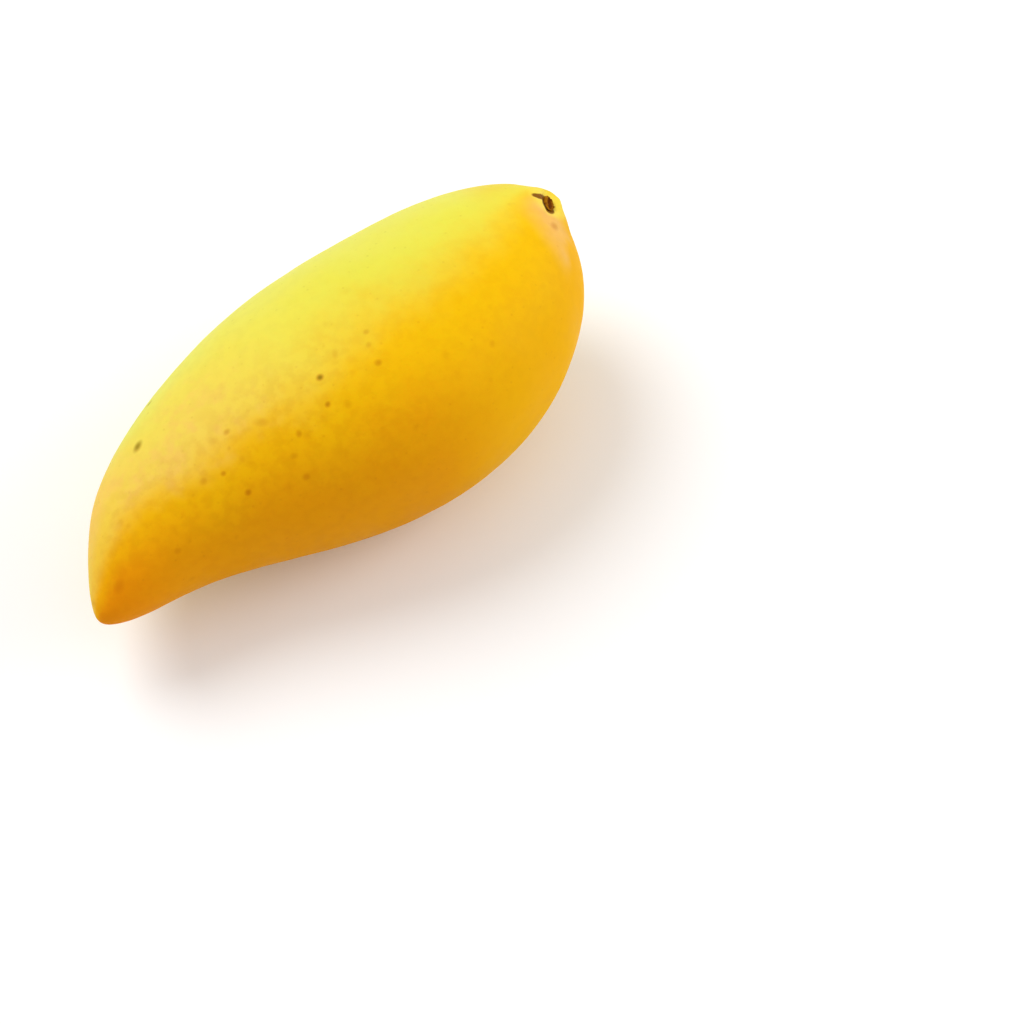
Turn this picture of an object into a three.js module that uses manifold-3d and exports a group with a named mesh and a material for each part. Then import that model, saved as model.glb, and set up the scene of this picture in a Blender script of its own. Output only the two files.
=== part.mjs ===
// A ripe mango of the long, beaked, yellow South-East Asian kind, lying on one cheek.
//
// The fruit grew as one piece, so it is one solid. Its surface is a unit sphere whose points are
// carried onto the long, curved body of the fruit. In the stem end is a shallow hollow, and the
// dry stub of the stalk stands in it as a piece of its own.
//
// Units are millimetres. +X runs from the beak to the stem end, +Y to the convex back and +Z up.
// The origin is the middle of the small flat spot that the fruit rests on.

import * as THREE from 'three';
import { mergeVertices } from 'three/addons/utils/BufferGeometryUtils.js';
import Module from 'manifold-3d';

const wasm = await Module();
wasm.setup();

// Body: its size, and how full its cross-sections are along the station, which runs from -1 at
// the beak to 1 at the stem end. The fullness is a polynomial in the station, less a narrowing
// that is felt only at the beak.
const LENGTH = 160;
const WIDTH = 72;
const THICKNESS = 62.6;
const FULLNESS = [1, 0.27, -0.26, 0.12, 0.36, -0.36];
const BEAK_NARROWING = { shift: 0.48, power: 20 };
const SQUARENESS = 0.06;

// Bends of the centre line, each a shift of the cross-section towards the back or upwards, and
// the small point that draws out the beak's tip.
const SWAY = { shift: 2.4, phase: 0.66 };
const BEAK_HOOK = { shift: 16, power: 8.7 };
const STEM_SHOULDER = { shift: 5.2, power: 8 };
const STEM_LIFT = { shift: 6, power: 8 };
const BEAK_POINT = { shift: 1.6, power: 30 };

// The flank below the stalk is drawn in a little, round one point of the skin.
const FLANK = {
  middle: new THREE.Vector3(69.3, 0.7, 47),
  outward: new THREE.Vector3(0.87, -0.3, 0.4).normalize(),
  depth: 1.4,
  reach: 10,
};

// Resting: the stem end lies a little higher, and the ripe flesh gives half a millimetre under
// the fruit's weight. The rest point is the middle of that flat spot, close under the centre of
// mass, measured from the middle of the body.
const PITCH = THREE.MathUtils.degToRad(3.5);
const REST_POINT = new THREE.Vector3(7.5, -1.8, -30.85);

// Stem end: where the stalk leaves the body, and the way it points, which leans a little from
// square to the skin. The stalk's scar is an oval: its hollow is cut by a ball, and the stub
// stands in it, with both drawn out one way and narrowed the other.
const STEM_DIRECTION = new THREE.Vector3(0.939, 0, 0.344).normalize();
const STALK_AXIS = new THREE.Vector3(0.704, -0.09, 0.704).normalize();
const SCAR_OVAL = { along: 1.6, across: 0.66, turn: THREE.MathUtils.degToRad(43) };
const HOLLOW_RADIUS = 6.5;
const HOLLOW_DEPTH = 0.8;
const STUB_RADIUS = 2.3;
const STUB_HEIGHT = 0.3;
const STUB_DISH = 0.35;
const GAP = 0.3;

// Fineness of the meshes.
const BODY_DETAIL = 15;
const HOLLOW_SIDES = 48;
const STUB_SIDES = 28;
const STUB_FOOT_STEPS = 5;

const SKIN = { color: 0xf2bf1c, roughness: 0.5, metalness: 0 };
const DRY_STALK = { color: 0x4a2610, roughness: 0.85, metalness: 0 };

// How far a bend moves a section, whose reach is 0 at the far end of the body and 1 at this one.
function bendShift(bend, reach) {
  return bend.shift * reach ** bend.power;
}

// How full the cross-section is at a station, as a share of the fullest.
function fullness(station) {
  const full = FULLNESS.reduce((sum, factor, power) => sum + factor * station ** power, 0);
  return full - bendShift(BEAK_NARROWING, (1 - station) / 2);
}

// How far the centre line lies towards the back at a station.
function backShift(station) {
  return bendShift(STEM_SHOULDER, (1 + station) / 2)
    - bendShift(BEAK_HOOK, (1 - station) / 2)
    - SWAY.shift * Math.sin(Math.PI * station + SWAY.phase);
}

// Draws a point of the skin in, the more the nearer it lies to the middle of the flank.
function drawFlankIn(point) {
  const nearness = Math.exp(-point.distanceToSquared(FLANK.middle) / FLANK.reach ** 2);
  return point.addScaledVector(FLANK.outward, -FLANK.depth * nearness);
}

// Carries a point of the unit sphere onto the skin of the resting fruit.
function skinPoint(direction) {
  const { x: station, y: across, z: up } = direction;
  const full = fullness(station);
  const width = (WIDTH / 2) * full * across * (1 + SQUARENESS * up ** 2);
  const height = (THICKNESS / 2) * full * up * (1 + SQUARENESS * across ** 2);
  const point = new THREE.Vector3(
    (LENGTH / 2) * station - bendShift(BEAK_POINT, (1 - station) / 2),
    width + backShift(station),
    height + bendShift(STEM_LIFT, (1 + station) / 2),
  );
  return drawFlankIn(point.applyAxisAngle(new THREE.Vector3(0, 1, 0), -PITCH).sub(REST_POINT));
}

// Turns a closed geometry into a solid that can be cut.
function solidOf(geometry) {
  const bare = geometry.clone();
  bare.deleteAttribute('normal');
  bare.deleteAttribute('uv');
  const merged = mergeVertices(bare);
  return new wasm.Manifold(new wasm.Mesh({
    numProp: 3,
    vertProperties: Float32Array.from(merged.attributes.position.array),
    triVerts: Uint32Array.from(merged.index.array),
  }));
}

// Turns a solid back into a geometry.
function geometryOf(solid) {
  const { vertProperties, triVerts } = solid.getMesh();
  const geometry = new THREE.BufferGeometry();
  geometry.setAttribute('position', new THREE.BufferAttribute(vertProperties, 3));
  geometry.setIndex(new THREE.BufferAttribute(triVerts, 1));
  geometry.computeVertexNormals();
  return geometry;
}

// The whole body, before anything is cut from it.
function bodyGeometry() {
  const body = new THREE.IcosahedronGeometry(1, BODY_DETAIL);
  const corners = body.attributes.position;
  for (let i = 0; i < corners.count; i += 1) {
    const { x, y, z } = skinPoint(new THREE.Vector3().fromBufferAttribute(corners, i));
    corners.setXYZ(i, x, y, z);
  }
  return body;
}

// Everything below the level that the fruit rests on.
function groundGeometry() {
  return new THREE.BoxGeometry(2 * LENGTH, 2 * LENGTH, THICKNESS).translate(0, 0, -THICKNESS / 2);
}

// Draws a round geometry out into the oval of the scar.
function toOval(geometry) {
  return geometry.scale(SCAR_OVAL.along, SCAR_OVAL.across, 1).rotateZ(SCAR_OVAL.turn);
}

// The ball that makes the stem hollow, on the stem end's own axis.
function hollowGeometry() {
  const ball = new THREE.SphereGeometry(HOLLOW_RADIUS, HOLLOW_SIDES, HOLLOW_SIDES / 2);
  return toOval(ball.translate(0, 0, HOLLOW_RADIUS - HOLLOW_DEPTH));
}

// Height of the hollow's bed at a distance from its middle.
function hollowBed(radius) {
  return HOLLOW_RADIUS - HOLLOW_DEPTH - Math.sqrt(HOLLOW_RADIUS ** 2 - radius ** 2);
}

// The stub of the stalk: its foot follows the hollow's bed, its sides draw in towards the top,
// and the top is dished where the pith has dried back.
function stubGeometry() {
  const foot = Array.from({ length: STUB_FOOT_STEPS + 1 }, (_, i) => {
    const radius = (STUB_RADIUS * i) / STUB_FOOT_STEPS;
    return new THREE.Vector2(radius, hollowBed(radius) + GAP);
  });
  const top = [
    new THREE.Vector2(0.92 * STUB_RADIUS, 0.35 * STUB_HEIGHT),
    new THREE.Vector2(0.8 * STUB_RADIUS, 0.88 * STUB_HEIGHT),
    new THREE.Vector2(0.62 * STUB_RADIUS, STUB_HEIGHT),
    new THREE.Vector2(0, STUB_HEIGHT - STUB_DISH),
  ];
  return toOval(new THREE.LatheGeometry([...foot, ...top], STUB_SIDES).rotateX(Math.PI / 2));
}

// The stem end's own place: its origin on the skin, its +Z along the stalk, and its +X as near
// as can be to the fruit's own.
function stemPlace() {
  const forward = new THREE.Vector3(1, 0, 0).projectOnPlane(STALK_AXIS).normalize();
  const side = STALK_AXIS.clone().cross(forward);
  const turn = new THREE.Matrix4().makeBasis(forward, side, STALK_AXIS);
  const place = new THREE.Group();
  place.position.copy(skinPoint(STEM_DIRECTION));
  place.quaternion.setFromRotationMatrix(turn);
  place.updateMatrix();
  return place;
}

// One named piece with its own material.
function piece(name, geometry, look) {
  const mesh = new THREE.Mesh(geometry, new THREE.MeshStandardMaterial(look));
  mesh.name = name;
  return mesh;
}

const mango = new THREE.Group();
const stem = stemPlace();

const hollow = solidOf(hollowGeometry().applyMatrix4(stem.matrix));
const fruit = solidOf(bodyGeometry()).subtract(solidOf(groundGeometry())).subtract(hollow);
mango.add(piece('fruit', geometryOf(fruit), SKIN));

stem.add(piece('stem_stub', stubGeometry(), DRY_STALK));
mango.add(stem);

export default mango;
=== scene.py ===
"""A ripe, beaked mango lying on one cheek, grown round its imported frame, with a plain studio.

The fruit's skin and its stalk stub are meshes made from the sizes in the panel. Lengths are in
metres. +X runs from the beak to the stem end, +Y to the convex back and +Z up.
"""

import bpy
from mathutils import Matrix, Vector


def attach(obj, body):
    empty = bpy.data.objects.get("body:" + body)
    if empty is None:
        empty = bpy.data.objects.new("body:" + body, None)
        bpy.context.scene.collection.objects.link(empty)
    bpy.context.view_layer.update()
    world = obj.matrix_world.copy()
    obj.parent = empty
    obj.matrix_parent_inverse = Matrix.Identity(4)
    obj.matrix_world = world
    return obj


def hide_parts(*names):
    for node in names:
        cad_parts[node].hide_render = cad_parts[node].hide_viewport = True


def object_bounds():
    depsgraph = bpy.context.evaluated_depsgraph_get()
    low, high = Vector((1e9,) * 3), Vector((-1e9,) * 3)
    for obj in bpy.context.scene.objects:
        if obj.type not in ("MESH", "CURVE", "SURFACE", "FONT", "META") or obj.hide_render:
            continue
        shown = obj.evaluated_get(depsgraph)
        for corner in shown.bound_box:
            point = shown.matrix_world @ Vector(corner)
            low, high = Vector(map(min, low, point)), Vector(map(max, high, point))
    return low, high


bl_info = {
    "name": "Ripe Mango",
    "version": (1, 0, 0),
    "blender": (4, 5, 0),
    "location": "View3D > Sidebar > Mango",
    "description": "Grows a ripe, beaked mango with its stalk stub, and sets up its studio",
    "category": "Object",
}

import math

import bpy
import numpy as np
from bpy.props import FloatProperty, FloatVectorProperty, IntProperty, PointerProperty
from mathutils import Matrix, Vector, noise

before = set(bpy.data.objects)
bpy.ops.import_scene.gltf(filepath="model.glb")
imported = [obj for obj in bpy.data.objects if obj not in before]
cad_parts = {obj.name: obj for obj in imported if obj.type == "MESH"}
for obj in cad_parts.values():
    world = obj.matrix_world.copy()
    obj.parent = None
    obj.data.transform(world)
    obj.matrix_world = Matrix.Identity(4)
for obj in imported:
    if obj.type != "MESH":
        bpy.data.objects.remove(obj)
CAD_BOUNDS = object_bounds()
MM = 0.001
WHITE = (1.0, 1.0, 1.0, 1.0)

# How full the cross-sections are along the station, which runs from -1 at the beak to 1 at the
# stem end: the factors of a polynomial in the station.
FULLNESS = (1.0, 0.27, -0.26, 0.12, 0.36, -0.36)

# Waves of the skin: the size and the height of each kind. They calm down towards the stalk,
# between these distances from it and to this share.
WAVES = ((34 * MM, 0.32 * MM), (9 * MM, 0.07 * MM))
CALMING = (8 * MM, 22 * MM)
CALMEST = 0.15
# How softly the resting spot's edge is rounded, and the gap under the stub's foot.
REST_SOFTNESS = 0.12 * MM
STUB_GAP = 0.05 * MM

# The stem end takes its own shape this far round the stalk and this far under it.
STEM_REACH = 16 * MM
STEM_DEPTH = 12 * MM
# The crest round the hollow: its radius, its width on the inside and the outside, its height,
# and how many pleats of what height it has.
CREST_RADIUS = 4.4 * MM
CREST_WIDTHS = (1.4 * MM, 2.6 * MM)
CREST_HEIGHT = 0.15 * MM
PLEATS = 11
PLEAT_HEIGHT = 0.05 * MM
# The dried crack: its bend in radians a metre, the distance from the stalk at which it lies in
# its own direction, half its width, what that gains at its mouth, and its depth.
CRACK_BEND = 60
CRACK_MIDDLE = 5.5 * MM
CRACK_HALF_WIDTH = 1.65 * MM
CRACK_MOUTH = 0.5 * MM
CRACK_DEPTH = 0.22 * MM
# The dark stain round the stub: its middle and half its size, along and across the oval scar.
STAIN_MIDDLE = (-0.8 * MM, 0.35 * MM)
STAIN_REACH = (4.8 * MM, 2.35 * MM)
# The stub's top: half the width of its cleft, the cleft's depth, how ragged the top is, and how
# far one side of it has chipped away.
CLEFT_HALF_WIDTH = 0.42 * MM
CLEFT_DEPTH = 0.38 * MM
RAGGEDNESS = 0.16 * MM
CHIP_DEPTH = 0.35 * MM

# The lamps: how wide each is, and how far it stands from the fruit's middle to the camera's
# right, ahead of it and up.
KEY_LAMP = (0.9, (-0.62, 0.45, 1.05))
SIDE_LAMP = (0.8, (1.05, 0.2, 0.5))
# The floor's colour as it lights the fruit, and as it is seen.
FLOOR_LIGHT = (0.80, 0.80, 0.80, 1.0)
FLOOR_SEEN = (1.08, 1.08, 1.08, 1.0)

# Colours laid over the belly's ochre, in order. A colour's share is the product of its ramps,
# and each ramp follows the station, the way round to the back or the skin's small patches: it
# starts and ends at two values there, and rises from one share to another.
LAYERS = (
    # Ripening: amber towards the stem end, gold on the cheek; the lemon and lime on the back are
    # partly the skin's own pale colour and partly painted sheen.
    ("amber", ("station", 0.05, 0.45)),
    ("gold", ("to_back", -1.03, -0.2)),
    ("lemon", ("to_back", -0.31, 0.35)),
    ("lime", ("to_back", 0.22, 0.85, 0.0, 0.87)),
    ("ochre", ("station", 0.66, 0.82, 0.0, 0.25), ("to_back", 0.1, 0.4)),
    # A bright band along the cheek of the beak half.
    ("glow", ("to_back", -0.43, 0.0, 0.0, 0.66), ("to_back", 0.9, 0.22),
     ("station", 0.32, -0.38)),
    # The beak, ripest at the belly.
    ("orange", ("station", -0.68, -0.98, 0.0, 0.6), ("to_back", -0.8, -0.45, 1.0, 0.62)),
    ("glow", ("station", -0.6, -0.95, 0.0, 0.5), ("to_back", 0.05, 0.45)),
    ("peach", ("station", -0.58, -0.85, 0.0, 0.55), ("station", -1.0, -0.88),
     ("to_back", 0.0, 0.4)),
    # Blush on the upper cheek by the stalk, and faint spots of it along the beak half.
    ("peach", ("station", 0.79, 0.885), ("station", 0.96, 0.915), ("to_back", -0.92, -0.70),
     ("to_back", 0.03, -0.30), ("patches", 0.2, 0.7, 0.65, 1.0)),
    ("peach", ("to_back", -0.52, -0.13), ("to_back", 0.88, 0.08), ("station", -0.04, -0.5),
     ("station", -0.9, -0.7), ("patches", 0.44, 0.70, 0.30, 0.62)),
)

# The ripening runs ahead at both ends: the stations where that begins and is full, and how far
# it shifts the colours towards the back. It also drifts: the size of each kind of drift, and
# how far it shifts the colours.
RIPE_ENDS = ((-0.5, -0.94, 0.33), (0.66, 0.92, 0.22))
DRIFTS = ((30 * MM, 0.36), (10 * MM, 0.24), (3.5 * MM, 0.07))
# How far belly and back fade into each other at the two tips, and what the stem end adds.
TIP_FADE = 0.12
STEM_FADE = 0.3

# Where the skin is rough, as ramps: most on the cheek of the beak half.
ROUGH = (("station", 0.3, -0.2, 0.5, 1.0), ("to_back", 0.25, -0.15, 0.35, 1.0),
         ("to_back", -1.0, -0.6, 0.45, 1.0))
# Darkness of the soft patches, the freckles and the pores, and the freckles' least and greatest
# radius as shares of their spacing.
PATCH_DARKNESS = 0.13
FRECKLE_DARKNESS = 0.24
PORE_DARKNESS = 0.14
FRECKLE_SIZES = (0.14, 0.40)
# Height of the fine relief of the skin and of the wood.
SKIN_RELIEF = 0.04 * MM
WOOD_RELIEF = 0.12 * MM

# Marks on the skin: station, angle round the body in degrees (0 at the back, 90 on top, 180 at
# the belly), length and width in millimetres, turn on the skin in degrees, and darkness.
MARKS = (
    (-0.62, 62, 4.4, 3.1, 20, 0.84),
    (-0.50, 37, 2.8, 1.7, 10, 0.62),
    (-0.07, 102, 2.6, 2.3, 0, 0.90),
    (-0.10, 113, 2.3, 2.0, 30, 0.64),
    (0.13, 96, 2.5, 2.1, 0, 0.35),
    (0.11, 101, 2.4, 2.1, 40, 0.29),
    (0.10, 109, 2.9, 2.5, 0, 0.47),
    (0.01, 97, 4.0, 2.6, 60, 0.25),
    (-0.05, 117, 3.6, 2.8, 80, 0.24),
    (-0.22, 118, 2.7, 2.2, 60, 0.44),
    (-0.27, 126, 3.2, 2.4, 0, 0.31),
    (-0.27, 138, 3.0, 2.5, 0, 0.38),
    (-0.29, 105, 5.4, 2.9, -37, 0.26),
    (-0.40, 115, 3.2, 2.6, 70, 0.23),
    (-0.44, 132, 2.6, 2.2, 30, 0.57),
    (-0.47, 116, 2.0, 1.8, 0, 0.50),
    (-0.53, 113, 3.4, 2.7, 20, 0.35),
    (-0.58, 116, 2.1, 1.7, 0, 0.24),
    (-0.39, 99, 2.5, 2.0, 0, 0.42),
    (-0.71, 141, 3.0, 2.4, 0, 0.27),
    (-0.79, 96, 2.4, 1.9, 0, 0.16),
    (-0.91, 122, 6.2, 3.8, 35, 0.28),
    (0.44, 129, 2.8, 2.4, 70, 0.20),
    (0.89, 111, 4.2, 3.4, 0, 0.40),
)


class MangoBody(bpy.types.PropertyGroup):
    """Size, bends and resting place of the fruit."""

    length: FloatProperty(
        name="Length", description="From the beak's tip to the stem end",
        default=0.160, min=0.05, unit="LENGTH", subtype="DISTANCE")
    width: FloatProperty(
        name="Width", description="From belly to back, before the fullness of each section",
        default=0.072, min=0.02, unit="LENGTH", subtype="DISTANCE")
    thickness: FloatProperty(
        name="Thickness", description="From cheek to cheek, before the fullness of each section",
        default=0.0626, min=0.02, unit="LENGTH", subtype="DISTANCE")
    squareness: FloatProperty(
        name="Squareness", description="How far the cross-sections fill out from a plain oval",
        default=0.06, min=0.0, max=0.3)
    sway: FloatProperty(
        name="Sway", description="Bow of the centre line along the whole fruit",
        default=0.0024, unit="LENGTH", subtype="DISTANCE")
    sway_phase: FloatProperty(
        name="Sway Phase", description="Where along the fruit the bow turns over",
        default=0.66, unit="ROTATION", subtype="ANGLE")
    hook: FloatProperty(
        name="Beak Hook", description="How far the beak hooks towards the belly",
        default=0.016, unit="LENGTH", subtype="DISTANCE")
    hook_power: FloatProperty(
        name="Hook Sharpness", description="How late the hook begins", default=8.7, min=1.0)
    narrowing: FloatProperty(
        name="Beak Narrowing", description="Fullness that the last stretch of the beak loses",
        default=0.48, min=0.0, max=0.6)
    narrowing_power: FloatProperty(
        name="Narrowing Sharpness", description="How late the narrowing begins",
        default=20.0, min=1.0)
    shoulder: FloatProperty(
        name="Stem Shoulder", description="How far the stem end leans towards the back",
        default=0.0052, unit="LENGTH", subtype="DISTANCE")
    lift: FloatProperty(
        name="Stem Lift", description="How far the stem end turns upwards",
        default=0.006, unit="LENGTH", subtype="DISTANCE")
    end_power: FloatProperty(
        name="Stem Sharpness", description="How late the shoulder and the lift begin",
        default=8.0, min=1.0)
    point: FloatProperty(
        name="Beak Point", description="How far the very tip of the beak is drawn out",
        default=0.0016, unit="LENGTH", subtype="DISTANCE")
    point_power: FloatProperty(
        name="Point Sharpness", description="How late the point begins", default=30.0, min=1.0)
    pitch: FloatProperty(
        name="Pitch", description="How far the stem end is raised where the fruit lies",
        default=math.radians(3.5), unit="ROTATION", subtype="ANGLE")
    rest_point: FloatVectorProperty(
        name="Rest Point", description="Middle of the resting spot, from the body's middle",
        default=(0.0075, -0.0018, -0.03085), unit="LENGTH", subtype="TRANSLATION")
    cells: IntProperty(
        name="Mesh Cells", description="Squares along each side of the mesh's six patches",
        default=126, min=8, max=126)


class MangoStem(bpy.types.PropertyGroup):
    """The hollow in the stem end, and the dry stub of the stalk in it."""

    direction: FloatVectorProperty(
        name="Direction", description="Where on the body the stalk grew",
        default=(0.939, 0.000, 0.344), subtype="DIRECTION")
    axis: FloatVectorProperty(
        name="Axis", description="Which way the stalk pointed",
        default=(0.704, -0.09, 0.704), subtype="DIRECTION")
    hollow_radius: FloatProperty(
        name="Hollow Ball", description="Radius of the ball that fits the hollow",
        default=0.0065, unit="LENGTH", subtype="DISTANCE")
    hollow_depth: FloatProperty(
        name="Hollow Depth", description="Depth of the hollow under the skin",
        default=0.0008, unit="LENGTH", subtype="DISTANCE")
    oval: FloatVectorProperty(
        name="Oval", description="How far the scar is drawn out along and across its long way",
        default=(1.6, 0.66), size=2)
    oval_turn: FloatProperty(
        name="Oval Turn", description="Which way the scar's long way lies",
        default=math.radians(43), unit="ROTATION", subtype="ANGLE")
    rim_width: FloatProperty(
        name="Rim Rounding", description="How softly the skin rolls over into the hollow",
        default=0.0009, unit="LENGTH", subtype="DISTANCE")
    stub_radius: FloatProperty(
        name="Stub Radius", description="Radius of the dry stub",
        default=0.0023, unit="LENGTH", subtype="DISTANCE")
    stub_height: FloatProperty(
        name="Stub Height", description="How far the stub stands above the skin",
        default=0.0003, unit="LENGTH", subtype="DISTANCE")
    stub_dish: FloatProperty(
        name="Stub Dish", description="How far the pith has dried back in the stub's top",
        default=0.00035, unit="LENGTH", subtype="DISTANCE")
    shoulder_height: FloatProperty(
        name="Shoulder Height", description="How far the shoulder round the stalk stands up",
        default=0.0006, unit="LENGTH", subtype="DISTANCE")
    shoulder_bend: FloatProperty(
        name="Shoulder Bend", description="Radius that the shoulder falls away with",
        default=0.022, unit="LENGTH", subtype="DISTANCE")
    shoulder_reach: FloatProperty(
        name="Shoulder Reach", description="Where the shoulder has run out into the body",
        default=0.011, unit="LENGTH", subtype="DISTANCE")
    lobe_turn: FloatProperty(
        name="Lobe Turn", description="Which side of the hollow the skin swells up on",
        default=math.radians(20), unit="ROTATION", subtype="ANGLE")
    lobe_height: FloatProperty(
        name="Lobe Height", description="How far the skin swells up beside the hollow",
        default=0.0013, unit="LENGTH", subtype="DISTANCE")
    flank_direction: FloatVectorProperty(
        name="Flank Direction", description="Where on the body the flank by the stalk draws in",
        default=(0.97, -0.17, 0.17), subtype="DIRECTION")
    flank_depth: FloatProperty(
        name="Flank Depth", description="How far the flank by the stalk draws in",
        default=0.0014, unit="LENGTH", subtype="DISTANCE")
    flank_reach: FloatProperty(
        name="Flank Reach", description="How wide the drawn-in flank is",
        default=0.010, unit="LENGTH", subtype="DISTANCE")
    crack_turn: FloatProperty(
        name="Crack Turn", description="Which way the dried crack runs out of the hollow",
        default=math.radians(149), unit="ROTATION", subtype="ANGLE")
    crack_length: FloatProperty(
        name="Crack Length", description="How far the dried crack runs from the stub's middle",
        default=0.0059, unit="LENGTH", subtype="DISTANCE")
    wood: FloatVectorProperty(
        name="Wood", description="Colour of the dry stalk",
        default=(0.44, 0.17, 0.003, 1.0), size=4, subtype="COLOR")
    # Dark wood is the grain's darker tone, and also the painted shade down the stub's cleft.
    wood_dark: FloatVectorProperty(
        name="Dark Wood", description="Colour in the stalk's creases",
        default=(0.15, 0.034, 0.001, 1.0), size=4, subtype="COLOR")


class MangoSkin(bpy.types.PropertyGroup):
    """Colours and surface of the skin."""

    # Lime and lemon are partly the back's own colour and partly painted sheen, a paleness that
    # stands in for the soft highlight on the back.
    lime: FloatVectorProperty(
        name="Lime", description="Greenish yellow along the crest of the back",
        default=(0.83, 0.80, 0.145, 1.0), size=4, subtype="COLOR")
    lemon: FloatVectorProperty(
        name="Lemon", description="Pale yellow of the back",
        default=(0.83, 0.775, 0.075, 1.0), size=4, subtype="COLOR")
    gold: FloatVectorProperty(
        name="Gold", description="Golden yellow of the upper cheek",
        default=(0.965, 0.553, 0.001, 1.0), size=4, subtype="COLOR")
    amber: FloatVectorProperty(
        name="Amber", description="Warm yellow of the belly towards the stem end",
        default=(0.975, 0.482, 0.001, 1.0), size=4, subtype="COLOR")
    ochre: FloatVectorProperty(
        name="Ochre", description="Deep orange yellow of the belly towards the beak",
        default=(0.90, 0.358, 0.001, 1.0), size=4, subtype="COLOR")
    orange: FloatVectorProperty(
        name="Beak Orange", description="Ripest colour, at the beak",
        default=(0.975, 0.275, 0.001, 1.0), size=4, subtype="COLOR")
    # Glow is also the colour of the painted highlight on the rim round the stalk.
    glow: FloatVectorProperty(
        name="Glow", description="Bright pale gold along the cheek of the beak half",
        default=(0.98, 0.78, 0.088, 1.0), size=4, subtype="COLOR")
    peach: FloatVectorProperty(
        name="Peach", description="Blush by the stem end and in spots along the beak",
        default=(0.98, 0.545, 0.13, 1.0), size=4, subtype="COLOR")
    olive: FloatVectorProperty(
        name="Olive Stain", description="What a full mark leaves of the skin's colour on the back",
        default=(0.34, 0.27, 0.05, 1.0), size=4, subtype="COLOR")
    brown: FloatVectorProperty(
        name="Brown Stain", description="What a full mark leaves of the skin's colour elsewhere",
        default=(0.50, 0.19, 0.04, 1.0), size=4, subtype="COLOR")
    scab: FloatVectorProperty(
        name="Scab", description="Brown of the dried crack and of the hollow's bed",
        default=(0.25, 0.095, 0.003, 1.0), size=4, subtype="COLOR")
    roughness: FloatProperty(
        name="Roughness", description="Dullness of the waxy skin",
        default=0.55, min=0.0, max=1.0, subtype="FACTOR")
    pore_spacing: FloatProperty(
        name="Pore Spacing", description="Distance between the breathing pores",
        default=0.0022, min=0.0005, unit="LENGTH", subtype="DISTANCE")
    freckle_spacing: FloatProperty(
        name="Freckle Spacing", description="Distance between the faint freckles",
        default=0.0048, min=0.001, unit="LENGTH", subtype="DISTANCE")


class MangoStudio(bpy.types.PropertyGroup):
    """Camera, lamps and floor."""

    aim: FloatVectorProperty(
        name="Aim", description="Point at the middle of the picture",
        default=(0.0109, -0.0513, 0.0292), unit="LENGTH", subtype="TRANSLATION")
    heading: FloatProperty(
        name="Heading", description="Direction that the camera faces, from +Y towards +X",
        default=math.radians(36.7), unit="ROTATION", subtype="ANGLE")
    tilt: FloatProperty(
        name="Tilt", description="How steeply the camera looks down",
        default=math.radians(60), unit="ROTATION", subtype="ANGLE")
    distance: FloatProperty(
        name="Distance", description="From the camera to the aim",
        default=0.6113, unit="LENGTH", subtype="DISTANCE")
    lens: FloatProperty(
        name="Lens", description="Focal length of the camera",
        default=85.0, unit="CAMERA")
    key_power: FloatProperty(
        name="Key Lamp", description="Power of the large soft lamp",
        default=8.4, unit="POWER")
    side_power: FloatProperty(
        name="Side Lamp", description="Power of the soft lamp on the stem end's side",
        default=4.6, unit="POWER")
    sky: FloatProperty(
        name="Sky", description="Strength of the light from all round", default=0.55, min=0.0)
    floor_radius: FloatProperty(
        name="Floor Radius", description="Radius of the round floor",
        default=1.5, unit="LENGTH", subtype="DISTANCE")


# ---------------------------------------------------------------- shape of the body


def body_axis_turn(pitch):
    """The turn about +Y that raises the stem end by the pitch."""
    return np.array(Matrix.Rotation(-pitch, 3, "Y"))


def skin_points(body, directions):
    """Carries points of the unit sphere onto the skin of the resting fruit."""
    station, across, up = directions.T
    full = sum(factor * station ** power for power, factor in enumerate(FULLNESS))
    full = full - body.narrowing * ((1 - station) / 2) ** body.narrowing_power
    to_stem = ((1 + station) / 2) ** body.end_power
    to_beak = ((1 - station) / 2) ** body.hook_power
    back = (body.shoulder * to_stem - body.hook * to_beak
            - body.sway * np.sin(math.pi * station + body.sway_phase))
    width = body.width / 2 * full * across * (1 + body.squareness * up ** 2)
    height = body.thickness / 2 * full * up * (1 + body.squareness * across ** 2)
    point = body.point * ((1 - station) / 2) ** body.point_power
    points = np.stack([body.length / 2 * station - point, width + back,
                       height + body.lift * to_stem], 1)
    return points @ body_axis_turn(body.pitch).T - np.array(body.rest_point)


def skin_place(body, direction):
    """Matrix of a place on the skin: +Z straight out of it, +X towards the stem end."""
    out = np.array(Vector(direction).normalized())
    step = 1e-3
    round_body = np.cross([1.0, 0.0, 0.0], out)
    round_body /= np.linalg.norm(round_body)
    lengthways = np.cross(round_body, out)
    near = np.stack([out, out + step * round_body, out + step * lengthways])
    near /= np.linalg.norm(near, axis=1, keepdims=True)
    here, beside, ahead = (Vector(point) for point in skin_points(body, near))
    normal = (ahead - here).cross(beside - here).normalized()
    if normal.dot(Vector(out)) < 0:
        normal.negate()
    forward = Vector((1, 0, 0))
    forward = (forward - forward.dot(normal) * normal).normalized()
    side = normal.cross(forward)
    return Matrix.Translation(here) @ Matrix((forward, side, normal)).transposed().to_4x4()


def stem_place(body, stem):
    """Matrix of the stem end's own place: +Z along the stalk, +X towards the stem end."""
    out = Vector(stem.axis).normalized()
    forward = Vector((1, 0, 0))
    forward = (forward - forward.dot(out) * out).normalized()
    turn = Matrix((forward, out.cross(forward), out)).transposed().to_4x4()
    return Matrix.Translation(skin_place(body, stem.direction).translation) @ turn


def marked_direction(station, angle):
    """Direction of a station and an angle round the body in degrees."""
    ring = math.sqrt(1 - station ** 2)
    turn = math.radians(angle)
    return Vector((station, ring * math.cos(turn), ring * math.sin(turn)))


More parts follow.
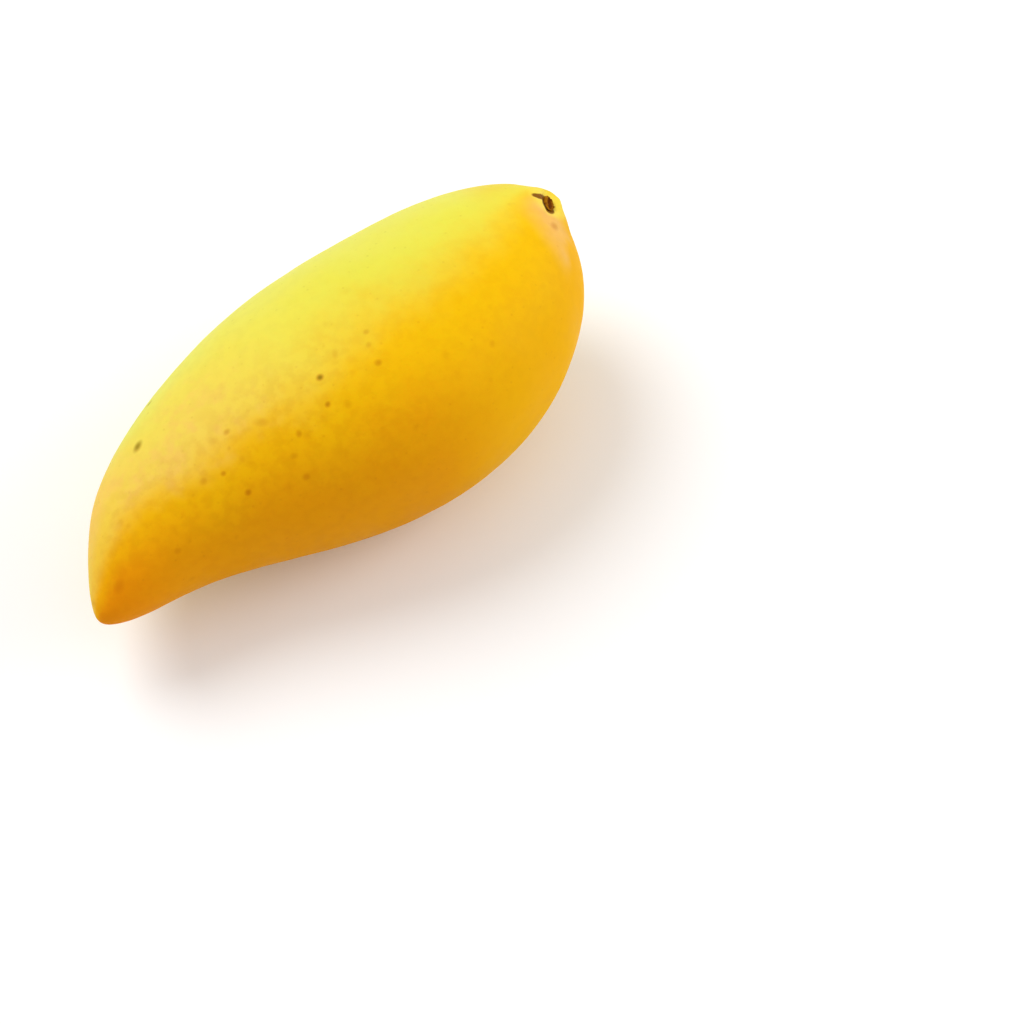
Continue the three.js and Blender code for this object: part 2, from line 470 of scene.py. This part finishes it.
def ball_patches(cells):
    """Six square patches blown up to a unit ball: its directions and its quads."""
    steps = np.tan(np.linspace(-1, 1, cells + 1) * math.pi / 4)
    first, second = np.meshgrid(steps, steps, indexing="ij")
    index = np.arange((cells + 1) ** 2).reshape(cells + 1, cells + 1)
    corners = (index[:-1, :-1], index[1:, :-1], index[1:, 1:], index[:-1, 1:])
    square = np.stack([corner.ravel() for corner in corners], 1)
    points, quads = [], []
    for axis in range(3):
        for sign in (1, -1):
            patch = np.empty((first.size, 3))
            patch[:, axis] = sign
            patch[:, (axis + 1) % 3] = first.ravel()
            patch[:, (axis + 2) % 3] = second.ravel()
            offset = len(quads) * first.size
            quads.append(offset + (square if sign > 0 else square[:, ::-1]))
            points.append(patch)
    points = np.concatenate(points)
    points /= np.linalg.norm(points, axis=1, keepdims=True)
    _, keep, shared = np.unique(np.round(points, 6), axis=0, return_index=True,
                                return_inverse=True)
    return points[keep], shared.ravel()[np.concatenate(quads)]


def crowd_towards(directions, centre, share=0.7, reach=0.5):
    """Draws the directions closer together round a centre, for a finer mesh there."""
    cosine = np.clip(directions @ centre, -1, 1)
    angle = np.arccos(cosine)
    drawn = angle * (1 - share * np.exp(-(angle / reach) ** 2))
    sideways = directions - cosine[:, None] * centre
    length = np.linalg.norm(sideways, axis=1, keepdims=True)
    sideways = np.divide(sideways, length, out=np.zeros_like(sideways), where=length > 1e-9)
    return np.cos(drawn)[:, None] * centre + np.sin(drawn)[:, None] * sideways


def smooth_step(low, high, value):
    """0 at low, 1 at high, and a smooth rise between them."""
    part = np.clip((value - low) / (high - low), 0, 1)
    return part * part * (3 - 2 * part)


def soft_lower(first, second, softness):
    """The lower of two heights, with a rounded corner where they cross."""
    return (first + second - np.sqrt((first - second) ** 2 + softness ** 2)) / 2


def hollow_bed(stem, radius):
    """Height of the stem hollow's bed over the skin's level."""
    ball = stem.hollow_radius
    return ball - stem.hollow_depth - np.sqrt(np.maximum(ball ** 2 - radius ** 2, 0))


def noise_at(points, size, octaves=3):
    """Smooth noise of about -1 to 1 whose lumps have a given size."""
    return np.array([noise.fractal(Vector(point) / size, 0.9, 2.1, octaves) for point in points])


# ---------------------------------------------------------------- making objects


def new_piece(name, points, faces):
    """A smooth mesh object in the scene."""
    mesh = bpy.data.meshes.new(name)
    mesh.from_pydata(points.tolist(), [], faces if isinstance(faces, list) else faces.tolist())
    mesh.polygons.foreach_set("use_smooth", [True] * len(mesh.polygons))
    mesh.update()
    piece = bpy.data.objects.new(name, mesh)
    bpy.context.scene.collection.objects.link(piece)
    return piece


def mesh_points(piece):
    """The mesh's points as an array."""
    points = np.empty(len(piece.data.vertices) * 3)
    piece.data.vertices.foreach_get("co", points)
    return points.reshape(-1, 3)


def mesh_normals(piece):
    """The mesh's point normals as an array."""
    normals = np.empty(len(piece.data.vertices) * 3)
    piece.data.vertex_normals.foreach_get("vector", normals)
    return normals.reshape(-1, 3)


def set_points(piece, points):
    """Moves the mesh's points."""
    piece.data.vertices.foreach_set("co", points.ravel())
    piece.data.update()


def keep_values(piece, name, values):
    """Stores one number or vector a point on the mesh, for the material to read."""
    kind, field = ("FLOAT_VECTOR", "vector") if values.ndim == 2 else ("FLOAT", "value")
    attribute = piece.data.attributes.new(name, kind, "POINT")
    attribute.data.foreach_set(field, values.astype(np.float32).ravel())


class Wiring:
    """One node material, and short ways to add and join its nodes."""

    def __init__(self, name):
        self.material = bpy.data.materials.new(name)
        self.material.use_nodes = True
        self.tree = self.material.node_tree
        self.shader = self.tree.nodes["Principled BSDF"]

    def join(self, value, socket):
        """Links a socket's value, or sets a plain one."""
        if isinstance(value, bpy.types.NodeSocket):
            self.tree.links.new(value, socket)
        else:
            socket.default_value = value

    def add(self, kind, sockets=None, **settings):
        """A new node with its settings made and its sockets filled."""
        node = self.tree.nodes.new(kind)
        for name, value in settings.items():
            setattr(node, name, value)
        for name, value in (sockets or {}).items():
            self.join(value, node.inputs[name])
        return node

    def shade(self, **sockets):
        """Fills the shader's sockets, named with _ for a space."""
        for name, value in sockets.items():
            self.join(value, self.shader.inputs[name.replace("_", " ")])

    def sum_of(self, operation, *values):
        """One step of arithmetic."""
        return self.add("ShaderNodeMath", dict(enumerate(values)), operation=operation).outputs[0]

    def product(self, value, *others):
        """Values multiplied together."""
        for other in others:
            value = self.sum_of("MULTIPLY", value, other)
        return value

    def rise(self, value, low, high, to_low=0.0, to_high=1.0):
        """A smooth rise from one value to another as the input goes from low to high."""
        sockets = {"Value": value, "From Min": low, "From Max": high,
                   "To Min": to_low, "To Max": to_high}
        return self.add("ShaderNodeMapRange", sockets,
                        interpolation_type="SMOOTHSTEP").outputs[0]

    def blend(self, share, first, second, blend_type="MIX"):
        """A mix of two colours."""
        node = self.add("ShaderNodeMix", {0: share, 6: first, 7: second},
                        data_type="RGBA", blend_type=blend_type)
        return node.outputs[2]

    def cloud(self, place, size, detail, distortion=0.0):
        """Noise whose lumps have a given size."""
        sockets = {"Vector": place, "Scale": 1 / size, "Detail": detail,
                   "Distortion": distortion}
        return self.add("ShaderNodeTexNoise", sockets).outputs[0]

    def cells(self, place, size):
        """Scattered points about a given size apart."""
        return self.add("ShaderNodeTexVoronoi", {"Vector": place, "Scale": 1 / size})

    def stored(self, name):
        """A number or vector kept on the mesh."""
        return self.add("ShaderNodeAttribute", attribute_name=name)

    def split(self, vector):
        """The three parts of a vector."""
        return self.add("ShaderNodeSeparateXYZ", {0: vector}).outputs

    def bump(self, height, distance, strength):
        """A small relief given by a height."""
        sockets = {"Height": height, "Distance": distance, "Strength": strength}
        return self.add("ShaderNodeBump", sockets).outputs[0]


# ---------------------------------------------------------------- the fruit


def stem_distances(place, points):
    """Each point in the stem end's own place, with its distance and angle round the stalk."""
    inverse = np.array(place.inverted())
    local = points @ inverse[:3, :3].T + inverse[:3, 3]
    return local, np.hypot(local[:, 0], local[:, 1]), np.arctan2(local[:, 1], local[:, 0])


def crack_depth(stem, radius, angle):
    """How deep each point lies in the dried crack that runs out of the hollow, 0 to 1."""
    bend = CRACK_BEND * (radius - CRACK_MIDDLE) + 0.05 * np.sin(radius / (0.5 * MM))
    off_line = np.abs(np.angle(np.exp(1j * (angle - stem.crack_turn - bend)))) * radius
    along = 1 - smooth_step(0.82, 1.04, radius / stem.crack_length)
    half_width = CRACK_HALF_WIDTH * (1 - 0.5 * smooth_step(0.6, 1.04, radius / stem.crack_length))
    half_width = half_width + CRACK_MOUTH * (1 - smooth_step(2.4 * MM, 3.6 * MM, radius))
    return along * (1 - smooth_step(0.3, 1.15, off_line / half_width))


def oval_reach(stem, angle):
    """How far the oval scar reaches at an angle, as a share of a round one."""
    along, across = stem.oval
    turned = angle - stem.oval_turn
    return 1 / np.hypot(np.cos(turned) / along, np.sin(turned) / across)


def stub_stain(stem, radius, angle):
    """How far each point lies in the dark stain round the stub, 0 to 1."""
    turned = angle - stem.oval_turn
    off_middle = np.stack([radius * np.cos(turned), radius * np.sin(turned)], 1) - STAIN_MIDDLE
    reach = np.linalg.norm(off_middle / STAIN_REACH, axis=1)
    return 1 - smooth_step(0.75, 1.1, reach + 0.08 * np.sin(5 * angle + 2.0))


def shape_stem_end(stem, place, points):
    """Turns the stem end square to the stalk, with the hollow and the crack pressed into it.

    Gives the new points, how deep each lies in the crack and in the stain, and its distance
    from the stalk.
    """
    local, radius, angle = stem_distances(place, points)
    near = (radius < STEM_REACH) & (local[:, 2] > -STEM_DEPTH)
    uneven = oval_reach(stem, angle) * (
        1 + 0.05 * np.sin(3 * angle + 0.6) + 0.03 * np.sin(5 * angle + 2.0))
    pleats = PLEAT_HEIGHT * np.sin(PLEATS * angle + 0.8 * np.sin(2 * angle))
    height = local[:, 2].copy()
    shoulder = stem.shoulder_height - radius ** 2 / (2 * stem.shoulder_bend)
    height += (shoulder - height) * (1 - smooth_step(3.0 * MM, stem.shoulder_reach, radius))
    off_crest = radius / uneven - CREST_RADIUS
    crest = np.exp(-(off_crest / np.where(off_crest < 0, *CREST_WIDTHS)) ** 2)
    lobe = ((1 + np.cos(angle - stem.lobe_turn)) / 2) ** 6 * stem.lobe_height
    height += crest * (lobe + CREST_HEIGHT + pleats)
    bed = hollow_bed(stem, radius / uneven)
    bed += pleats * smooth_step(2 * MM, 4 * MM, radius)
    inside = radius / uneven < 0.95 * stem.hollow_radius
    height = np.where(inside, soft_lower(height, bed, stem.rim_width), height)
    crack = crack_depth(stem, radius, angle)
    height -= CRACK_DEPTH * crack * smooth_step(3.0 * MM, 4.2 * MM, radius)
    local[:, 2] = np.where(near, height, local[:, 2])
    turn = np.array(place)
    stained = stub_stain(stem, radius, angle)
    return (local @ turn[:3, :3].T + turn[:3, 3],
            np.where(near, crack, 0), np.where(near, stained, 0), radius)


def settle(points, softness):
    """Keeps every point on or over the floor, with a rounded edge to the resting spot."""
    height = points[:, 2]
    # The last term sinks the spot a little, so that its middle lies flat on the floor.
    points[:, 2] = (height + np.sqrt(height ** 2 + softness ** 2)) / 2 - softness / 40
    points[:, 2] = np.maximum(points[:, 2], 0)
    return points


def growth_values(directions):
    """Each point's station, and how far round it lies from belly to back and up, -1 to 1."""
    station, across, up = directions.T
    ring = np.sqrt(np.maximum(1 - station ** 2, 0))
    fade = TIP_FADE + STEM_FADE * smooth_step(0.88, 1.0, station)
    return np.stack([station, across * (1 + fade) / (ring + fade), up], 1)


def flank_draw(body, stem, points):
    """How far each point is drawn in towards the flank by the stalk."""
    middle = np.array(skin_place(body, stem.flank_direction).translation)
    off_middle = np.sum((points - middle) ** 2, axis=1)
    return stem.flank_depth * np.exp(-off_middle / stem.flank_reach ** 2)


def grow_fruit(body, stem):
    """The fruit's mesh, with the values that its skin's colours follow."""
    stem_way = np.array(Vector(stem.direction).normalized())
    directions, quads = ball_patches(body.cells)
    turn = np.array(Vector((1, 0, 0)).rotation_difference(Vector(stem_way)).to_matrix())
    directions = crowd_towards(directions @ turn.T, stem_way)
    piece = new_piece("mango_fruit", skin_points(body, directions), quads)
    points, normals = mesh_points(piece), mesh_normals(piece)
    swell = sum(height * noise_at(points, size, 2) for size, height in WAVES)
    stem_point = points[np.argmax(directions @ stem_way)]
    away = smooth_step(*CALMING, np.linalg.norm(points - stem_point, axis=1))
    points += normals * (swell * (CALMEST + (1 - CALMEST) * away))[:, None]
    points -= normals * flank_draw(body, stem, points)[:, None]
    points, crack, stained, radius = shape_stem_end(stem, stem_place(body, stem), points)
    set_points(piece, settle(points, REST_SOFTNESS))
    keep_values(piece, "growth", growth_values(directions))
    keep_values(piece, "crack", crack)
    keep_values(piece, "stained", stained)
    keep_values(piece, "from_stalk", radius)
    return piece


def mark_mask(wiring, body, place):
    """How dark the marks make each point, 0 to 1."""
    mask = 0.0
    for station, angle, length, width, turn, darkness in MARKS:
        spot = skin_place(body, marked_direction(station, angle))
        spot = spot @ Matrix.Rotation(math.radians(turn), 4, "Z")
        sockets = {"Vector": place, "Location": spot.translation,
                   "Rotation": spot.to_euler(),
                   "Scale": (length / 2 * MM, width / 2 * MM, length * MM)}
        local = wiring.add("ShaderNodeMapping", sockets, vector_type="TEXTURE").outputs[0]
        reach = wiring.add("ShaderNodeVectorMath", {0: local}, operation="LENGTH").outputs[1]
        mask = wiring.sum_of("MAXIMUM", mask, wiring.rise(reach, 1.15, 0.1, 0, darkness))
    return mask


def ripening(wiring, place, growth):
    """How far round to the back each point counts as, -1 to 1: the beak and the stem end ripen
    first, and the rest drifts from place to place."""
    station, turned = growth[0], growth[1]
    for size, amount in DRIFTS:
        patch = wiring.cloud(place, size, 2.5)
        turned = wiring.sum_of("ADD", turned, wiring.sum_of(
            "MULTIPLY_ADD", patch, amount, -amount / 2))
    for begins, full, shift in RIPE_ENDS:
        ahead = wiring.rise(station, begins, full, 0.0, shift)
        turned = wiring.sum_of("SUBTRACT", turned, ahead)
    return turned


def share_of(wiring, ways, ramps):
    """The product of ramps, each of which follows one of the ways over the skin."""
    return wiring.product(*(wiring.rise(ways[way], *ends) for way, *ends in ramps))


def skin_colour(wiring, skin, ways):
    """The skin's colour, with each layer laid over the last."""
    colour = skin.ochre
    for name, *ramps in LAYERS:
        colour = wiring.blend(share_of(wiring, ways, ramps), colour, getattr(skin, name))
    return colour


def freckles(wiring, skin, place):
    """Faint, soft freckles of uneven shape."""
    wander = wiring.add("ShaderNodeTexNoise", {"Vector": place, "Scale": 1 / (1.5 * MM)})
    wander = wiring.add("ShaderNodeVectorMath", {0: wander.outputs["Color"], 1: (0.5,) * 3},
                        operation="SUBTRACT").outputs[0]
    strayed = wiring.add("ShaderNodeVectorMath", {0: wander, 1: (1.1 * MM,) * 3, 2: place},
                         operation="MULTIPLY_ADD").outputs[0]
    wide = wiring.cells(strayed, skin.freckle_spacing)
    chance = wiring.split(wide.outputs["Color"])
    reach = wiring.sum_of("DIVIDE", wide.outputs["Distance"],
                          wiring.rise(chance[0], 0.0, 1.0, *FRECKLE_SIZES))
    faint = wiring.rise(chance[1], 0.4, 1.0, 0.0, FRECKLE_DARKNESS)
    return wiring.product(wiring.rise(reach, 1.0, 0.1), faint)


def breathing_pores(wiring, skin, place):
    """Fine pores all over the skin, some deeper than others."""
    fine = wiring.cells(place, skin.pore_spacing)
    chance = wiring.split(fine.outputs["Color"])
    return wiring.product(wiring.rise(fine.outputs["Distance"], 0.24, 0.04),
                          wiring.rise(chance[0], 0.3, 1.0))


def darkened(wiring, skin, colour, place, ways, marks, pores):
    """The colour with soft patches, freckles, pores and marks on it."""
    rough = share_of(wiring, ways, ROUGH)
    uneven = wiring.cloud(place, 3 * MM, 3.0)
    shade = wiring.product(wiring.rise(uneven, 0.62, 0.34, 0.0, PATCH_DARKNESS), rough)
    spots = wiring.product(freckles(wiring, skin, place), rough)
    dark = wiring.sum_of("MAXIMUM", spots, wiring.product(pores, PORE_DARKNESS))
    dark = wiring.sum_of("MAXIMUM", wiring.sum_of("ADD", dark, shade), marks)
    oldest = wiring.sum_of("MAXIMUM", wiring.rise(ways["to_back"], 0.15, 0.45),
                           wiring.rise(marks, 0.5, 0.75))
    stain = wiring.blend(oldest, skin.brown, skin.olive)
    return wiring.blend(dark, colour, stain, "MULTIPLY")


def scar_and_painted_highlight(wiring, skin, colour):
    """The colour with a painted highlight, a pale ring of the glow colour on the rim round the
    stalk, and brown scab in the crack and the hollow.
    """
    from_stalk = wiring.stored("from_stalk").outputs["Fac"]
    # Painted highlight: the rim round the stalk is made paler, in the glow colour, where it would
    # catch the light.
    lip = wiring.product(wiring.rise(from_stalk, 1.3 * MM, 2.2 * MM, 0.0, 0.7),
                         wiring.rise(from_stalk, 7.0 * MM, 4.4 * MM))
    colour = wiring.blend(lip, colour, skin.glow)
    scabbed = wiring.sum_of("MAXIMUM", wiring.stored("stained").outputs["Fac"],
                            wiring.stored("crack").outputs["Fac"])
    return wiring.blend(wiring.rise(scabbed, 0.05, 0.8), colour, skin.scab)


def skin_relief(wiring, place, marks, pores):
    """Height of the skin's fine peel: dimpled, and sunk at its pores and marks."""
    peel = wiring.cloud(place, 0.6 * MM, 3.0)
    dimples = wiring.cloud(place, 1.8 * MM, 2.0)
    relief = wiring.sum_of("MULTIPLY_ADD", pores, -0.45, wiring.product(peel, 0.7))
    relief = wiring.sum_of("MULTIPLY_ADD", dimples, 1.6, relief)
    return wiring.sum_of("MULTIPLY_ADD", marks, -1.2, relief)


def skin_material(body, skin):
    """Waxy yellow skin."""
    wiring = Wiring("mango_skin")
    place = wiring.add("ShaderNodeTexCoord").outputs["Object"]
    growth = wiring.split(wiring.stored("growth").outputs["Vector"])
    marks, pores = mark_mask(wiring, body, place), breathing_pores(wiring, skin, place)
    ways = {
        "station": growth[0],
        "to_back": ripening(wiring, place, growth),
        "patches": wiring.cloud(place, 5 * MM, 3.0),
    }
    colour = skin_colour(wiring, skin, ways)
    colour = darkened(wiring, skin, colour, place, ways, marks, pores)
    wax = wiring.cloud(place, 12 * MM, 3.0)
    wiring.shade(
        Base_Color=scar_and_painted_highlight(wiring, skin, colour),
        Roughness=wiring.rise(wax, 0.3, 0.7, skin.roughness - 0.05, skin.roughness + 0.07),
        Specular_IOR_Level=0.05,
        Subsurface_Weight=0.10,
        Subsurface_Radius=(1.0, 0.45, 0.12),
        Subsurface_Scale=0.003,
        Normal=wiring.bump(skin_relief(wiring, place, marks, pores), SKIN_RELIEF, 0.8),
    )
    return wiring.material


class MANGO_OT_grow_fruit(bpy.types.Operator):
    """Grows the fruit and gives it its waxy yellow skin"""

    bl_idname = "mango.grow_fruit"
    bl_label = "Grow Fruit"

    def execute(self, context):
        scene = context.scene
        piece = grow_fruit(scene.mango_body, scene.mango_stem)
        piece.data.materials.append(skin_material(scene.mango_body, scene.mango_skin))
        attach(piece, "root")
        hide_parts("fruit")
        return {"FINISHED"}


# ---------------------------------------------------------------- the stalk's stub


def stub_profile(stem, steps):
    """Radius and height of the stub from the middle of its foot to the middle of its top."""
    radius, height = stem.stub_radius, stem.stub_height
    foot = np.linspace(0, 1, steps)
    points = [(radius * part, hollow_bed(stem, radius * part) + STUB_GAP) for part in foot]
    side = np.linspace(0, 1, 2 * steps)[1:]
    foot_height = points[-1][1]
    points += [(radius * (1 - 0.16 * part + 0.05 * math.sin(5 * part)),
                foot_height + part * (0.86 * height - foot_height)) for part in side]
    edge = points[-1][0]
    for part in np.linspace(0, 1, 2 * steps)[1:]:
        lip = 0.14 * height * math.sin(math.pi * min(part * 3, 1))
        dish = stem.stub_dish * smooth_step(0.15, 0.75, part)
        points.append((edge * (1 - part), 0.86 * height + lip - dish))
    return np.array(points)


def grow_stub(body, stem, sides=120, steps=14):
    """The stub's mesh: a low woody scar with ridged sides and a ragged top, cleft lengthways."""
    profile = stub_profile(stem, steps)
    rings = len(profile)
    turn = np.linspace(0, 2 * math.pi, sides, endpoint=False)
    radius = np.repeat(profile[:, 0], sides)
    height = np.repeat(profile[:, 1], sides)
    angle = np.tile(turn, rings)
    outer = np.clip(radius / stem.stub_radius, 0, 1)
    above = smooth_step(-0.8 * MM, 0.4 * MM, height)
    ridges = 0.035 * np.sin(17 * angle + 1.4 * np.sin(3 * angle)) + 0.02 * np.sin(31 * angle)
    spread = radius * oval_reach(stem, angle) * (1 + ridges * above)
    flat = np.stack([spread * np.cos(angle), spread * np.sin(angle), height], 1)
    ragged = noise_at(flat * (1, 1, 0.2), 0.9 * MM, 3)
    chip = CHIP_DEPTH * smooth_step(0.25, 0.9, np.cos(angle - 2.4))
    flat[:, 2] += above * (RAGGEDNESS * ragged - chip * outer)
    off_cleft = spread * np.sin(angle - stem.oval_turn) + (0.1 + 0.12 * ragged) * MM
    cleft = np.exp(-(off_cleft / CLEFT_HALF_WIDTH) ** 2) * (1 - smooth_step(0.75, 1.0, outer))
    flat[:, 2] -= CLEFT_DEPTH * above * cleft
    place = np.array(stem_place(body, stem))
    points = flat @ place[:3, :3].T + place[:3, 3]
    piece = new_piece("stalk_stub", *closed_rings(points, rings, sides))
    # The cleft is kept on the mesh so that the wood's material can paint shade into it.
    keep_values(piece, "cleft", np.concatenate([cleft[:1], cleft[sides:-sides], cleft[-1:]]))
    return piece


def closed_rings(points, rings, sides):
    """Joins rings of points into a closed skin; the first and last ring are single points."""
    first, last = points[:1], points[-1:]
    middle = points[sides:-sides]
    index = 1 + np.arange((rings - 2) * sides).reshape(rings - 2, sides)
    beside = np.roll(index, -1, axis=1)
    faces = np.stack([index[:-1], beside[:-1], beside[1:], index[1:]], -1).reshape(-1, 4).tolist()
    end = 1 + (rings - 2) * sides
    faces += [[0, b, a] for a, b in zip(index[0].tolist(), beside[0].tolist())]
    faces += [[end, a, b] for a, b in zip(index[-1].tolist(), beside[-1].tolist())]
    return np.concatenate([first, middle, last]), faces


def wood_material(body, stem):
    """Dry, fibrous stalk wood, with painted shade: darker colour down the cleft in its top."""
    wiring = Wiring("dry_stalk")
    spot = stem_place(body, stem)
    place = wiring.add("ShaderNodeTexCoord").outputs["Object"]
    sockets = {"Vector": place, "Location": spot.translation, "Rotation": spot.to_euler()}
    local = wiring.add("ShaderNodeMapping", sockets, vector_type="TEXTURE").outputs[0]
    stretched = wiring.add("ShaderNodeVectorMath", {0: local, 1: (1, 1, 0.25)},
                           operation="MULTIPLY").outputs[0]
    fibre = wiring.cloud(stretched, 0.35 * MM, 4.0, 0.4)
    blotch = wiring.cloud(place, 1.6 * MM, 2.0)
    share = wiring.sum_of("MULTIPLY_ADD", blotch, 0.5, wiring.product(fibre, 0.6))
    # Painted shade: the wood turns towards its dark colour down the cleft, where shade falls in
    # the groove.
    share = wiring.sum_of("MULTIPLY_ADD", wiring.stored("cleft").outputs["Fac"], -0.6, share)
    colour = wiring.blend(wiring.rise(share, 0.35, 0.72), stem.wood_dark, stem.wood)
    wiring.shade(
        Base_Color=colour,
        Roughness=0.82,
        Specular_IOR_Level=0.03,
        Normal=wiring.bump(fibre, WOOD_RELIEF, 0.9),
    )
    return wiring.material


class MANGO_OT_grow_stub(bpy.types.Operator):
    """Grows the dry stub of the stalk in the stem hollow"""

    bl_idname = "mango.grow_stub"
    bl_label = "Grow Stalk Stub"

    def execute(self, context):
        scene = context.scene
        piece = grow_stub(scene.mango_body, scene.mango_stem)
        piece.data.materials.append(wood_material(scene.mango_body, scene.mango_stem))
        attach(piece, "root")
        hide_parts("stem_stub")
        return {"FINISHED"}


# ---------------------------------------------------------------- the studio


def heading_frame(studio):
    """Directions in the camera's own plan: to its right, ahead of it and up."""
    turn = Matrix.Rotation(-studio.heading, 3, "Z")
    return turn @ Vector((1, 0, 0)), turn @ Vector((0, 1, 0)), Vector((0, 0, 1))


def set_camera(studio):
    """The camera at its distance from the aim, looking down at its tilt."""
    _, ahead, up = heading_frame(studio)
    look = ahead * math.cos(studio.tilt) - up * math.sin(studio.tilt)
    lens = bpy.data.cameras.new("studio_camera")
    lens.lens = studio.lens
    camera = bpy.data.objects.new("studio_camera", lens)
    camera.location = Vector(studio.aim) - look * studio.distance
    camera.rotation_euler = look.to_track_quat("-Z", "Y").to_euler()
    bpy.context.scene.collection.objects.link(camera)
    bpy.context.scene.camera = camera


def set_lamp(studio, name, power, size, offset):
    """A large soft lamp that faces the fruit's middle."""
    aim = (Vector(CAD_BOUNDS[0]) + Vector(CAD_BOUNDS[1])) / 2
    place = aim + Matrix(heading_frame(studio)).transposed() @ Vector(offset)
    light = bpy.data.lights.new(name, "AREA")
    light.energy = power
    light.shape = "DISK"
    light.size = size
    lamp = bpy.data.objects.new(name, light)
    lamp.location = place
    lamp.rotation_euler = (aim - place).to_track_quat("-Z", "Y").to_euler()
    bpy.context.scene.collection.objects.link(lamp)


def seen_directly(nodes, links):
    """1 for rays that show the background itself, in the picture or in a reflection."""
    path = nodes.new("ShaderNodeLightPath")
    seen = path.outputs["Is Camera Ray"]
    for ray in ("Is Glossy Ray", "Is Transmission Ray"):
        either = nodes.new("ShaderNodeMath")
        either.operation = "MAXIMUM"
        links.new(seen, either.inputs[0])
        links.new(path.outputs[ray], either.inputs[1])
        seen = either.outputs[0]
    return seen


def set_sky(studio):
    """Even light from all round, seen as white."""
    world = bpy.data.worlds.new("studio_sky")
    world.use_nodes = True
    nodes, links = world.node_tree.nodes, world.node_tree.links
    background = nodes["Background"]
    background.inputs["Color"].default_value = WHITE
    strength = nodes.new("ShaderNodeMapRange")
    strength.inputs["To Min"].default_value = studio.sky
    strength.inputs["To Max"].default_value = 1.0
    links.new(seen_directly(nodes, links), strength.inputs["Value"])
    links.new(strength.outputs[0], background.inputs["Strength"])
    bpy.context.scene.world = world


def floor_material():
    """Pale floor that takes the fruit's shadow and is white elsewhere."""
    wiring = Wiring("pale_floor")
    seen = seen_directly(wiring.tree.nodes, wiring.tree.links)
    wiring.shade(Base_Color=wiring.blend(seen, FLOOR_LIGHT, FLOOR_SEEN), Roughness=0.9,
                 Specular_IOR_Level=0.0)
    return wiring.material


def set_floor(studio, sides=96):
    """A wide round floor at the level that the fruit rests on."""
    turn = np.linspace(0, 2 * math.pi, sides, endpoint=False)
    ring = np.stack([np.cos(turn), np.sin(turn), np.zeros(sides)], 1) * studio.floor_radius
    floor = new_piece("studio_floor", ring, [list(range(sides))])
    floor.data.materials.append(floor_material())


class MANGO_OT_set_studio(bpy.types.Operator):
    """Sets up the camera, the soft lamps, the sky and the pale floor"""

    bl_idname = "mango.set_studio"
    bl_label = "Set Up Studio"

    def execute(self, context):
        studio = context.scene.mango_studio
        context.scene.view_settings.view_transform = "Standard"
        set_lamp(studio, "key_lamp", studio.key_power, *KEY_LAMP)
        set_lamp(studio, "side_lamp", studio.side_power, *SIDE_LAMP)
        set_sky(studio)
        set_floor(studio)
        set_camera(studio)
        return {"FINISHED"}


class MANGO_PT_sidebar(bpy.types.Panel):
    """The mango's sizes and colours, with a button for each step"""

    bl_idname = "MANGO_PT_sidebar"
    bl_label = "Ripe Mango"
    bl_space_type = "VIEW_3D"
    bl_region_type = "UI"
    bl_category = "Mango"

    def draw(self, context):
        scene = context.scene
        for step, groups in STEPS:
            box = self.layout.box()
            box.operator(step.bl_idname)
            for settings in (getattr(scene, group) for group in groups):
                for name in settings.__annotations__:
                    box.prop(settings, name)


GROUPS = (
    ("mango_body", MangoBody),
    ("mango_stem", MangoStem),
    ("mango_skin", MangoSkin),
    ("mango_studio", MangoStudio),
)
STEPS = (
    (MANGO_OT_set_studio, ("mango_studio",)),
    (MANGO_OT_grow_fruit, ("mango_body", "mango_skin")),
    (MANGO_OT_grow_stub, ("mango_stem",)),
)
CLASSES = (*(group for _, group in GROUPS), *(step for step, _ in STEPS), MANGO_PT_sidebar)


def register():
    """Registers the classes and hangs their settings on the scene."""
    for item in CLASSES:
        bpy.utils.register_class(item)
    for name, group in GROUPS:
        setattr(bpy.types.Scene, name, PointerProperty(type=group))


def unregister():
    """Takes the settings and the classes away again."""
    for name, _ in GROUPS:
        delattr(bpy.types.Scene, name)
    for item in reversed(CLASSES):
        bpy.utils.unregister_class(item)


def main():
    """Makes everything in order."""
    register()
    bpy.ops.mango.set_studio()
    bpy.ops.mango.grow_fruit()
    bpy.ops.mango.grow_stub()


if __name__ == "__main__":
    main()
